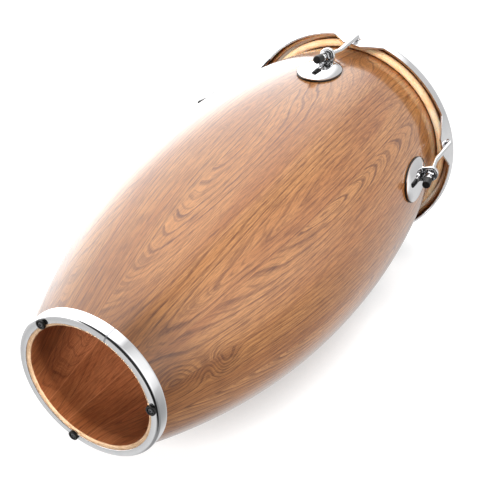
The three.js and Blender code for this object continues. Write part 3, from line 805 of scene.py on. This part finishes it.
def make_shelf(number, azimuth):
    """The bracket's tongue: round the rod, flared where it grows out of the plate."""
    root = (EYE_STANDOFF - plate_back - PLATE_EDGE / 2) / math.cos(LEAN)
    flare_start = root - PLATE_CROWN - SHELF_FLARE + 1.0
    wide = SHELF_HALF_WIDTH
    half = SHELF_THICKNESS / 2
    middle = -(SHELF_TOP + half)
    straight = np.linspace(0, root, 15)[1:]
    outline = arc(0, 0, wide, 180, 360, 28) + [(wide, y) for y in straight]
    outline += [(x, root) for x in np.linspace(wide, -wide, 13)[1:-1]]
    outline = np.array(outline + [(-wide, y) for y in straight[::-1]])
    angles = np.arctan2(outline[:, 1], outline[:, 0])
    hole = (ROD_RADIUS + RUNNING) * np.stack([np.cos(angles), np.sin(angles)], axis=1)

    def flared(plan, level):
        past = np.clip((plan[:, 1] - flare_start) / SHELF_FLARE, 0, 1)
        grow = SHELF_FLARE * (1 - np.sqrt(1 - past**2 * 0.96))
        x = plan[:, 0] * (1 + grow / wide * 0.9)
        return np.stack([x, plan[:, 1], np.sign(level) * (abs(level) + grow) + middle], axis=1)

    flat = 1 - SHELF_EDGE / wide
    loops = [flared(hole * (1 - share) + outline * share, half) for share in np.linspace(0, flat, 9)]
    for angle in np.radians(np.linspace(78, -78, 9)):
        inset = SHELF_EDGE * (1 - math.cos(angle)) / wide
        level = (half - SHELF_EDGE) * np.sign(angle) + SHELF_EDGE * math.sin(angle)
        loops.append(flared(outline * (1 - inset), level))
    loops.append(flared(outline * flat, -half))
    loops += [flared(hole * (1 - share) + outline * share, -half) for share in np.linspace(flat, 0, 9)]
    loft(f"lug_bracket_{number}", loops, "shell_body", CHROME, on_lug(azimuth, along_rod), closed=True)


def make_gasket(number, azimuth):
    top = SEAT + GASKET
    edge = rounded([(0.9, top), (1.0, top), (1.0, SEAT), (0.9, SEAT)], 0.03)
    make_pad(
        f"lug_gasket_sheet_{number}", azimuth, [half + GASKET_BORDER for half in PLATE_HALF_SIZE],
        [(0, top), *edge, (0, SEAT)], RUBBER, f"lug_gasket_{number}",
    )


def make_backing(number, azimuth):
    outer = -WALL - SEAT
    inner = outer - BACKING
    section = [(0, outer), (0.9, outer), (0.97, outer), (1.0, outer - BACKING_CHAMFER)]
    section += [(1.0, inner + BACKING_CHAMFER), (0.97, inner), (0.9, inner), (0, inner)]
    make_pad(
        f"backing_strip_{number}", azimuth, BACKING_HALF_SIZE, section, STEEL, f"backing_plate_{number}",
        sides=WASHER_SIDES, power=BACKING_SQUARENESS,
    )


def hexagon(angles):
    return 1 / np.cos((angles + math.pi / 6) % (math.pi / 3) - math.pi / 6)


def make_bolts(number, azimuth):
    head_top = -(WALL + SEAT + BACKING) - SEAT
    head_bottom = head_top - BOLT_HEAD_HEIGHT
    recess = head_bottom + BOLT_RECESS_DEPTH
    flat = BOLT_HEAD_RADIUS * math.cos(math.pi / 6)
    end = plate_back + BOLT_BITE
    sections = [
        (0, recess), (BOLT_RECESS_RADIUS, recess, hexagon), (BOLT_RECESS_RADIUS, head_bottom, hexagon),
        (flat * 0.96, head_bottom), (flat * 0.995, head_bottom + 0.35, hexagon), (flat, head_top, hexagon),
        (BOLT_RADIUS, head_top), (BOLT_RADIUS, end - BOLT_CHAMFER), (BOLT_RADIUS - BOLT_CHAMFER, end),
        (0, end),
    ]
    loops = [ring_loop(radius, height, SMALL_SIDES, *shape) for radius, height, *shape in sections]
    for name, offset in BOLT_OFFSETS.items():
        loft(
            f"lug_bolt_{name}_piece_{number}", loops, "shell_body", STEEL,
            on_lug(azimuth, lambda points: on_shell(points, PLATE_HEIGHT + offset)),
            [f"lug_bolt_{name}_{number}"],
        )


def make_washer(number, azimuth):
    bore = ROD_RADIUS + RUNNING
    top = -washer_under + WASHER_THICKNESS
    profile = [(bore, -washer_under), (WASHER_RADIUS, -washer_under), (WASHER_RADIUS, top), (bore, top)]
    profile = rounded(profile, WASHER_ROUND, 4, closed=True)
    lathe(
        f"tuning_washer_disc_{number}", profile, WASHER_SIDES, "shell_body", CHROME,
        on_lug(azimuth, along_rod), [f"tuning_washer_{number}"], closed=True,
    )


def make_nut(number, azimuth):
    bore = ROD_RADIUS + RUNNING
    flat = NUT_FLATS / 2
    chamfer_start = flat * NUT_CROWN_START
    bottom = -nut_under
    top = bottom + NUT_HEIGHT
    sides = PLATE_SIDES

    def crown(height, sign):
        inner = ring_loop(chamfer_start, height, sides)
        outer = ring_loop(flat, height, sides, hexagon)
        loops = []
        for share in (0.0, 0.5, 1.0):
            mixed = inner * (1 - share) + outer * share
            past = np.maximum(np.hypot(mixed[:, 0], mixed[:, 1]) - chamfer_start, 0)
            mixed[:, 2] = height - sign * past * NUT_CROWN_SLOPE
            loops.append(mixed)
        return loops

    wide = bore + NUT_CHAMFER
    loops = [ring_loop(bore, top - NUT_CHAMFER, sides), ring_loop(wide, top, sides), *crown(top, 1)]
    loops += [*crown(bottom, -1)[::-1], ring_loop(wide, bottom, sides)]
    loops.append(ring_loop(bore, bottom + NUT_CHAMFER, sides))
    loft(
        f"tuning_nut_hex_{number}", loops, f"nut_{number}", CHROME, on_lug(azimuth, along_rod),
        [f"tuning_nut_{number}"], closed=True,
    )


def make_cap(number, azimuth):
    bore = ROD_RADIUS + SEAT
    floor = -rod_end - SEAT
    bead_end = -cap_top - CAP_BEAD_HEIGHT
    profile = [
        (0, -cap_bottom), (CAP_RADIUS - CAP_ROUND - 0.8, -cap_bottom),
        *arc(CAP_RADIUS - CAP_ROUND - 0.3, -cap_bottom + CAP_ROUND, CAP_ROUND, -84, 0, 6),
        (CAP_RADIUS - CAP_BEAD, bead_end - 0.2), (CAP_RADIUS, bead_end + 0.2),
        (CAP_RADIUS, -cap_top - CAP_LIP), (CAP_RADIUS - CAP_LIP, -cap_top),
        (bore, -cap_top), (bore, floor), (0, floor),
    ]
    lathe(
        f"rod_cap_sleeve_{number}", profile, SMALL_SIDES, f"hook_{number}", RUBBER,
        on_lug(azimuth, along_rod), [f"rod_cap_{number}"],
    )


def hook_path():
    """The hook's centre line in the lug's plane as (out, up) points, from its thread to its hooked end."""
    def down(distance):
        return np.array([KINK_RADIUS + distance * math.sin(LEAN), KINK_HEIGHT - distance * math.cos(LEAN)])

    kink = curve(down(KINK_ROUND), down(0), np.array([KINK_RADIUS, KINK_HEIGHT + KINK_ROUND]), 8)
    corner = np.array([KINK_RADIUS, HOOK_HEIGHT])
    hook = curve(corner - [0, HOOK_ROUND], corner, corner - [HOOK_ROUND, 0], 12)
    end = np.array([RIM_RADIUS - HOOK_REACH, HOOK_HEIGHT])
    return down, kink, hook, end


def make_hook(number, azimuth):
    down, kink, hook, end = hook_path()
    phases = np.linspace(0, 2 * math.pi, ROD_SIDES, endpoint=False)
    plain = np.full(ROD_SIDES, ROD_RADIUS)
    cut_start = rod_end - ROD_CHAMFER
    steps = int((cut_start - thread_start) / THREAD_PITCH * THREAD_STEPS) + 1
    stations = [(down(rod_end), plain - 1.0)]
    for step in range(steps):
        distance = cut_start - step * THREAD_PITCH / THREAD_STEPS
        turn = (step / THREAD_STEPS + phases / (2 * math.pi)) % 1
        fade = min(1.0, step / THREAD_RUN_IN, (distance - thread_start) / THREAD_RUN_OUT)
        groove = THREAD_DEPTH * fade * (1 - np.abs(2 * turn - 1))
        stations.append((down(distance), ROD_RADIUS - groove))
    stations += [(point, plain) for point in [down(thread_start - 1), *kink, *hook]]
    direction = (end - hook[-1]) / np.linalg.norm(end - hook[-1])
    stations += [(end - direction * HOOK_CHAMFER, plain), (end, plain - HOOK_CHAMFER)]
    centres = np.array([centre for centre, radius in stations])
    tangents = np.gradient(centres, axis=0)
    tangents /= np.linalg.norm(tangents, axis=1)[:, None]
    loops = [np.array([[0, -centres[0][0], centres[0][1]]])]
    for ((out, up), radius), (along_out, along_up) in zip(stations, tangents):
        side = radius * np.cos(phases)
        across = radius * np.sin(phases)
        loops.append(np.stack([side, -(out - across * along_up), up + across * along_out], axis=1))
    loops.append(np.array([[0, -centres[-1][0], centres[-1][1]]]))
    loft(
        f"tuning_hook_rod_{number}", loops, f"hook_{number}", CHROME, on_lug(azimuth),
        [f"tuning_hook_{number}"],
    )


def with_thickness(points, normals, faces, thickness):
    """Closes a sheet into a solid: a second skin inwards, joined along every free edge."""
    count = len(points)
    inner = points - normals * thickness
    uses = {}
    for face in faces:
        for first, second in zip(face, face[1:] + face[:1]):
            key = (min(first, second), max(first, second))
            uses.setdefault(key, []).append((first, second))
    sides = [
        (second, first, first + count, second + count)
        for (first, second), *others in uses.values()
        if not others
    ]
    back = [tuple(index + count for index in face[::-1]) for face in faces]
    return np.concatenate([points, inner]), faces + back + sides


def round_edges(mesh):
    """Turns every sharp edge of the rim on a small radius."""
    sharp = [edge for edge in mesh.edges if edge.calc_face_angle(0) > BEVEL_ANGLE]
    bmesh.ops.bevel(
        mesh, geom=sharp, offset=RIM_EDGE_ROUND * MM, segments=3, profile=0.5, affect="EDGES",
        clamp_overlap=True,
    )


RIM_BLOCK = 6  # half the columns and rows of the square patch round a tab's hole
RIM_FLANK = 6  # columns on either side of that patch
RIM_WINDOW = 12  # columns between two tabs
RIM_TURN_STEPS = 12
RIM_COLUMNS = 2 * (RIM_BLOCK + RIM_FLANK)
HOLE_SHARES = (0.35, 0.65, 0.88, 1.0)  # how far in from the patch's border the loops round a hole lie
HOLE_ROOM = (RIM_BAND_BOTTOM - TAB_HOLE_HEIGHT) * 1.5  # half the patch; a row of it is the band's edge
RIM_EDGE_ROUND = 0.6


def tab_offsets(height):
    """Degrees from the lug of each column of a tab at a height."""
    root = math.degrees(TAB_ROOT_WIDTH / 2 / RIM_RADIUS)
    end = math.degrees(TAB_WIDTH / 2 / RIM_RADIUS)
    fall = max(0.0, (RIM_BAND_BOTTOM - height) / (RIM_BAND_BOTTOM - TAB_BOTTOM))
    half = root + (end - root) * fall
    near = min(1.0, (round_start - height) / (round_start - TAB_HOLE_HEIGHT - HOLE_ROOM))
    patch = math.degrees(HOLE_ROOM / RIM_RADIUS) * near + root * 2 * RIM_BLOCK / RIM_COLUMNS * (1 - near)
    left = np.linspace(-half, -patch, RIM_FLANK, endpoint=False)
    middle = np.linspace(-patch, patch, 2 * RIM_BLOCK, endpoint=False)
    return np.concatenate([left, middle, np.linspace(patch, half, RIM_FLANK + 1)])


def make_rim():
    """The rim as one bent sheet, from its lip down to its tabs, with a hole in each tab."""
    points, normals, faces = [], [], []

    def vertex(radius, azimuth, height, rise=0.0):
        angle = math.radians(azimuth)
        level = math.cos(rise)
        points.append((radius * math.sin(angle), -radius * math.cos(angle), height))
        normals.append((level * math.sin(angle), -level * math.cos(angle), math.sin(rise)))
        return len(points) - 1

    def quads(upper, lower):
        faces.extend(zip(upper, lower, lower[1:], upper[1:]))

    azimuths = []
    for lug in LUG_AZIMUTHS:
        offsets = tab_offsets(round_start)
        azimuths += list(lug + offsets)
        azimuths += list(np.linspace(lug + offsets[-1], lug + LUG_STEP + offsets[0], RIM_WINDOW + 1)[1:-1])
    flat = [(radius, RIM_TOP, 1) for radius in (LIP_RADIUS, (LIP_RADIUS + RIM_RADIUS - RIM_ROUND) / 2)]
    turn = arc(RIM_RADIUS - RIM_ROUND, round_start, RIM_ROUND, 90, 0, RIM_TURN_STEPS)
    turn = [(*point, 1 - step / RIM_TURN_STEPS) for step, point in enumerate(turn)]
    top = []
    for radius, height, share in flat + turn:
        top.append([vertex(radius, azimuth, height, math.pi / 2 * share) for azimuth in azimuths])
    for upper, lower in zip(top, top[1:]):
        quads(upper + upper[:1], lower + lower[:1])

    patch_top, patch_bottom = TAB_HOLE_HEIGHT + HOLE_ROOM, TAB_HOLE_HEIGHT - HOLE_ROOM
    heights = [(round_start + patch_top) / 2, *np.linspace(patch_top, patch_bottom, 2 * RIM_BLOCK + 1)]
    heights += list(np.linspace(patch_bottom, TAB_BOTTOM, 8)[1:])
    band = [height for height in heights if height > RIM_BAND_BOTTOM - 0.01]
    per_lug = RIM_COLUMNS + RIM_WINDOW
    tabs = []
    for i, lug in enumerate(LUG_AZIMUTHS):
        rows = [top[-1][i * per_lug:i * per_lug + RIM_COLUMNS + 1]]
        for height in heights:
            rows.append([vertex(RIM_RADIUS, lug + offset, height) for offset in tab_offsets(height)])
        tabs.append(rows)
        first, last = 2, 2 + 2 * RIM_BLOCK
        left, right = RIM_FLANK, RIM_FLANK + 2 * RIM_BLOCK
        for row in range(len(rows) - 1):
            upper, lower = rows[row], rows[row + 1]
            if first <= row < last:
                quads(upper[:left + 1], lower[:left + 1])
                quads(upper[right:], lower[right:])
            else:
                quads(upper, lower)
        border = rows[first][left:right] + [rows[row][right] for row in range(first, last)]
        border += rows[last][right:left:-1] + [rows[row][left] for row in range(last, first, -1)]
        loops = [border]
        for share in HOLE_SHARES:
            loop = []
            for index in border:
                x, y, height = points[index]
                side = math.radians((math.degrees(math.atan2(x, -y)) - lug + 180) % 360 - 180) * RIM_RADIUS
                rise = height - TAB_HOLE_HEIGHT
                scale = 1 - share + share * TAB_HOLE_RADIUS / math.hypot(side, rise)
                azimuth = lug + math.degrees(side * scale / RIM_RADIUS)
                loop.append(vertex(RIM_RADIUS, azimuth, TAB_HOLE_HEIGHT + rise * scale))
            loops.append(loop)
        for outer, inner in zip(loops, loops[1:]):
            quads(outer + outer[:1], inner + inner[:1])
    for i, lug in enumerate(LUG_AZIMUTHS):
        start = i * per_lug + RIM_COLUMNS
        upper = (top[-1] + top[-1][:1])[start:start + RIM_WINDOW + 1]
        for row, height in enumerate(band, 1):
            following = tabs[(i + 1) % len(tabs)][row][0]
            ends = (lug + tab_offsets(height)[-1], lug + LUG_STEP + tab_offsets(height)[0])
            azimuths = np.linspace(*ends, RIM_WINDOW + 1)[1:-1]
            between = [vertex(RIM_RADIUS, azimuth, height) for azimuth in azimuths]
            lower = [tabs[i][row][-1], *between, following]
            quads(upper, lower)
            upper = lower
    outer_count = len(faces)
    points, faces = with_thickness(np.array(points), np.array(normals), faces, RIM_WALL)
    # The inside faces take the second material: satin chrome browned with a painted reflection of the wood
    inside = range(outer_count, 2 * outer_count)
    picks = [1 if i in inside else 0 for i in range(len(faces))]
    rim = new_piece("rim_chrome", points, faces, "head_body", RIM_CHROME, ["rim"], picks)
    reshape(rim.data, round_edges)


def make_lugs():
    for number, azimuth in enumerate(LUG_AZIMUTHS, 1):
        for make in (
            make_plate, make_shelf, make_gasket, make_backing, make_bolts, make_washer, make_nut, make_cap,
            make_hook,
        ):
            make(number, azimuth)


make_shell()
make_bottom_ring()
make_feet()
skin = make_skin()
make_flesh_hoop()
make_rim()
make_lugs()


# Stage, light and camera

CAMERA_PLACE = (-0.0729, -1.1581, -0.7600)
CAMERA_RIGHT = (0.6633, -0.5412, 0.5169)
CAMERA_DOWN = (0.7470, 0.4371, -0.5009)
CAMERA_FORWARD = (0.0451, 0.7184, 0.6942)
LENS = 85.45
SENSOR_WIDTH = 36
PHOTO_UP = (-0.617, -0.787, -0.033)  # the photograph's floor lies square to this

# The room in reflections: its levels rise from the dark side at 0 to the bright side at 1
BRIGHT_SIDE = (-0.948, -0.137, 0.203)
ROOM_PEAK = 2.4
ROOM_LEVELS = [
    (0.0, 0.1), (0.15, 0.14), (0.25, 0.3), (0.33, 0.3), (0.4, 0.24), (0.5, 0.26), (0.57, 0.27), (0.68, 0.27),
    (0.78, 0.8), (0.86, 0.98), (0.93, 1.0),
]
# Soft lights on the photograph's right and behind the drum: direction, edge, full light, strength
GLOWS = [((0.5, -0.85, 0.15), 0.75, 0.93, 0.6), ((-0.35, 0.55, 0.758), 0.84, 0.98, 1.6)]
DARK_SIDE = (0.326, -0.946, 0)  # the room's low part is dark on this side
DARK_EDGE = [(0.38, 0.0), (0.44, 1.0)]
DARK_DEPTH = [(0.26, 0.0), (0.36, 1.0)]
DARKNESS = 0.95
AMBIENT = 0.68

# Lamps: name, place, what it is aimed at, power in watts, size
LAMPS = [
    ("key_lamp", (-1.7, -0.5, 1.26), (0, 0, 0.36), 5, 1.5),
    ("fill_lamp", (0.8, -1.7, 0.15), (0, 0, 0.36), 11.5, 1.0),
    ("low_lamp", (-1.4, -0.9, -0.8), (0, 0, 0.5), 7, 0.8),
    ("collar_lamp", (-0.9, -1.1, -0.8), (0, 0, 0.7), 42, 0.8),
]
MOUTH_PLACE = (0, -0.45, -0.78)
MOUTH_POWER = 100
MOUTH_CONE = 9.8
MOUTH_BLEND = 0.25
MOUTH_SIZE = 0.03
FLOOR_SIZE = 8
FLOOR_GLOW = 0.84
CONTACT_REACH = 0.055
CONTACT_SHADE = 0.75
PHOTO_SHADE_ENDS = (0.3, 0.38)
SHADE_ENDS = (0.125, 0.15)
FLOOR_GAP = 1.0  # millimetres


def make_camera():
    data = bpy.data.cameras.new("camera")
    data.sensor_width = SENSOR_WIDTH
    data.lens = LENS
    camera = add_object("camera", data)
    axes = np.array([CAMERA_RIGHT, CAMERA_DOWN, CAMERA_FORWARD])
    right, down, forward = axes / np.linalg.norm(axes, axis=1)[:, None]
    camera.matrix_world = Matrix([*zip(right, -down, -forward, CAMERA_PLACE), (0, 0, 0, 1)])
    bpy.context.scene.camera = camera


def make_world():
    """White for the camera, plain light all round, and a room of lights and darks for reflections."""
    world = bpy.data.worlds.new("studio")
    bpy.context.scene.world = world
    world.use_nodes = True
    tree = world.node_tree
    path = node("LightPath", tree=tree).outputs
    direction = node("TexCoord", tree=tree).outputs["Generated"]

    def towards(side):
        return measured("DOT_PRODUCT", direction, side)

    share = scaled(towards(BRIGHT_SIDE), 0.5, 0.5)
    room = times(ramp(share, ROOM_LEVELS), ROOM_PEAK)
    for side, edge, full, strength in GLOWS:
        room = scaled(ramp(towards(side), [(edge, 0.0), (full, 1.0)]), strength, room)
    behind = scaled(towards(DARK_SIDE), 0.5, 0.5)
    depth = times(node("SeparateXYZ", {0: direction}).outputs["Z"], -1.0)
    dark = times(ramp(behind, DARK_EDGE), ramp(depth, DARK_DEPTH))
    room = times(room, scaled(dark, -DARKNESS, 1.0))
    glossy = times(path["Is Glossy Ray"], minus(1.0, path["Is Camera Ray"]))
    level = node("Mix", {0: path["Is Camera Ray"], 2: AMBIENT, 3: 1.0}).outputs[0]
    level = node("Mix", {0: glossy, 2: level, 3: room}).outputs[0]
    fill(tree.nodes["Background"], {"Color": (1, 1, 1, 1), "Strength": level})


def make_lamp(name, kind, place, target, power):
    data = bpy.data.lights.new(name, kind)
    data.energy = power
    lamp = add_object(name, data)
    lamp.location = place
    lamp.rotation_euler = (Vector(target) - Vector(place)).to_track_quat("-Z", "Y").to_euler()
    lamp.visible_glossy = False
    return lamp


def make_lamps(skin):
    """The lamps; the last of the square ones lights the skin alone, which lies in the rim's shade."""
    for name, place, target, power, size in LAMPS:
        lamp = make_lamp(name, "AREA", place, target, power)
        lamp.data.size = size
    skin_only = bpy.data.collections.new("skin_only")
    skin_only.objects.link(skin)
    lamp.light_linking.receiver_collection = skin_only
    mouth = make_lamp("mouth_lamp", "SPOT", MOUTH_PLACE, (0, 0, 0), MOUTH_POWER).data
    mouth.spot_size = math.radians(MOUTH_CONE)
    mouth.spot_blend = MOUTH_BLEND
    mouth.shadow_soft_size = MOUTH_SIZE


def floor_material(name, near, far):
    """White paper that only the camera sees, from above, with the drum's soft shadow.

    The shade of what stands close fades out between two distances from the floor's middle.
    """
    material, shader, place = new_material(name)
    tree = material.node_tree
    tree.nodes.remove(shader)
    fleck = ramp(noise(place, 40.0), [(0.3, 0.33), (0.7, 0.35)])
    paper = node("BsdfDiffuse", {"Color": fleck}).outputs[0]
    open_share = node("AmbientOcclusion", {"Distance": CONTACT_REACH}, tree).outputs["AO"]
    away = node("VectorMath", {0: place}, operation="LENGTH").outputs["Value"]
    shade = times(minus(1.0, open_share), ramp(away, [(near, CONTACT_SHADE), (far, 0.0)]))
    level = times(minus(1.0, shade), FLOOR_GLOW)
    glow = node("Emission", {"Strength": level}).outputs[0]
    seen = node("AddShader", {0: paper, 1: glow}).outputs[0]
    clear = node("BsdfTransparent", tree=tree).outputs[0]
    hidden = minus(1.0, node("LightPath", tree=tree).outputs["Is Camera Ray"])
    hidden = calc("MAXIMUM", hidden, node("NewGeometry", tree=tree).outputs["Backfacing"])
    mixed = node("MixShader", {0: hidden, 1: seen, 2: clear}).outputs[0]
    fill(tree.nodes["Material Output"], {"Surface": mixed})
    return material


def make_floor(name, point, normal, paper):
    bpy.ops.mesh.primitive_plane_add(size=FLOOR_SIZE, location=point)
    floor = bpy.context.object
    floor.name = name
    floor.rotation_euler = Vector(normal).to_track_quat("Z", "Y").to_euler()
    floor.data.materials.append(paper)


def make_floors():
    """The photograph's floor, on which the drum lies, and the floor that it stands on."""
    up = Vector(PHOTO_UP)
    touch = Vector((0, 0, BELLY_HEIGHT * MM)) - up * (BELLY_RADIUS + FLOOR_GAP) * MM
    make_floor("photo_floor", touch, up, floor_material("photo_paper", *PHOTO_SHADE_ENDS))
    make_floor("floor", (0, 0, 0), (0, 0, 1), floor_material("floor_paper", *SHADE_ENDS))


make_camera()
make_world()
make_lamps(skin)
make_floors()
bpy.context.scene.view_settings.view_transform = "Standard"
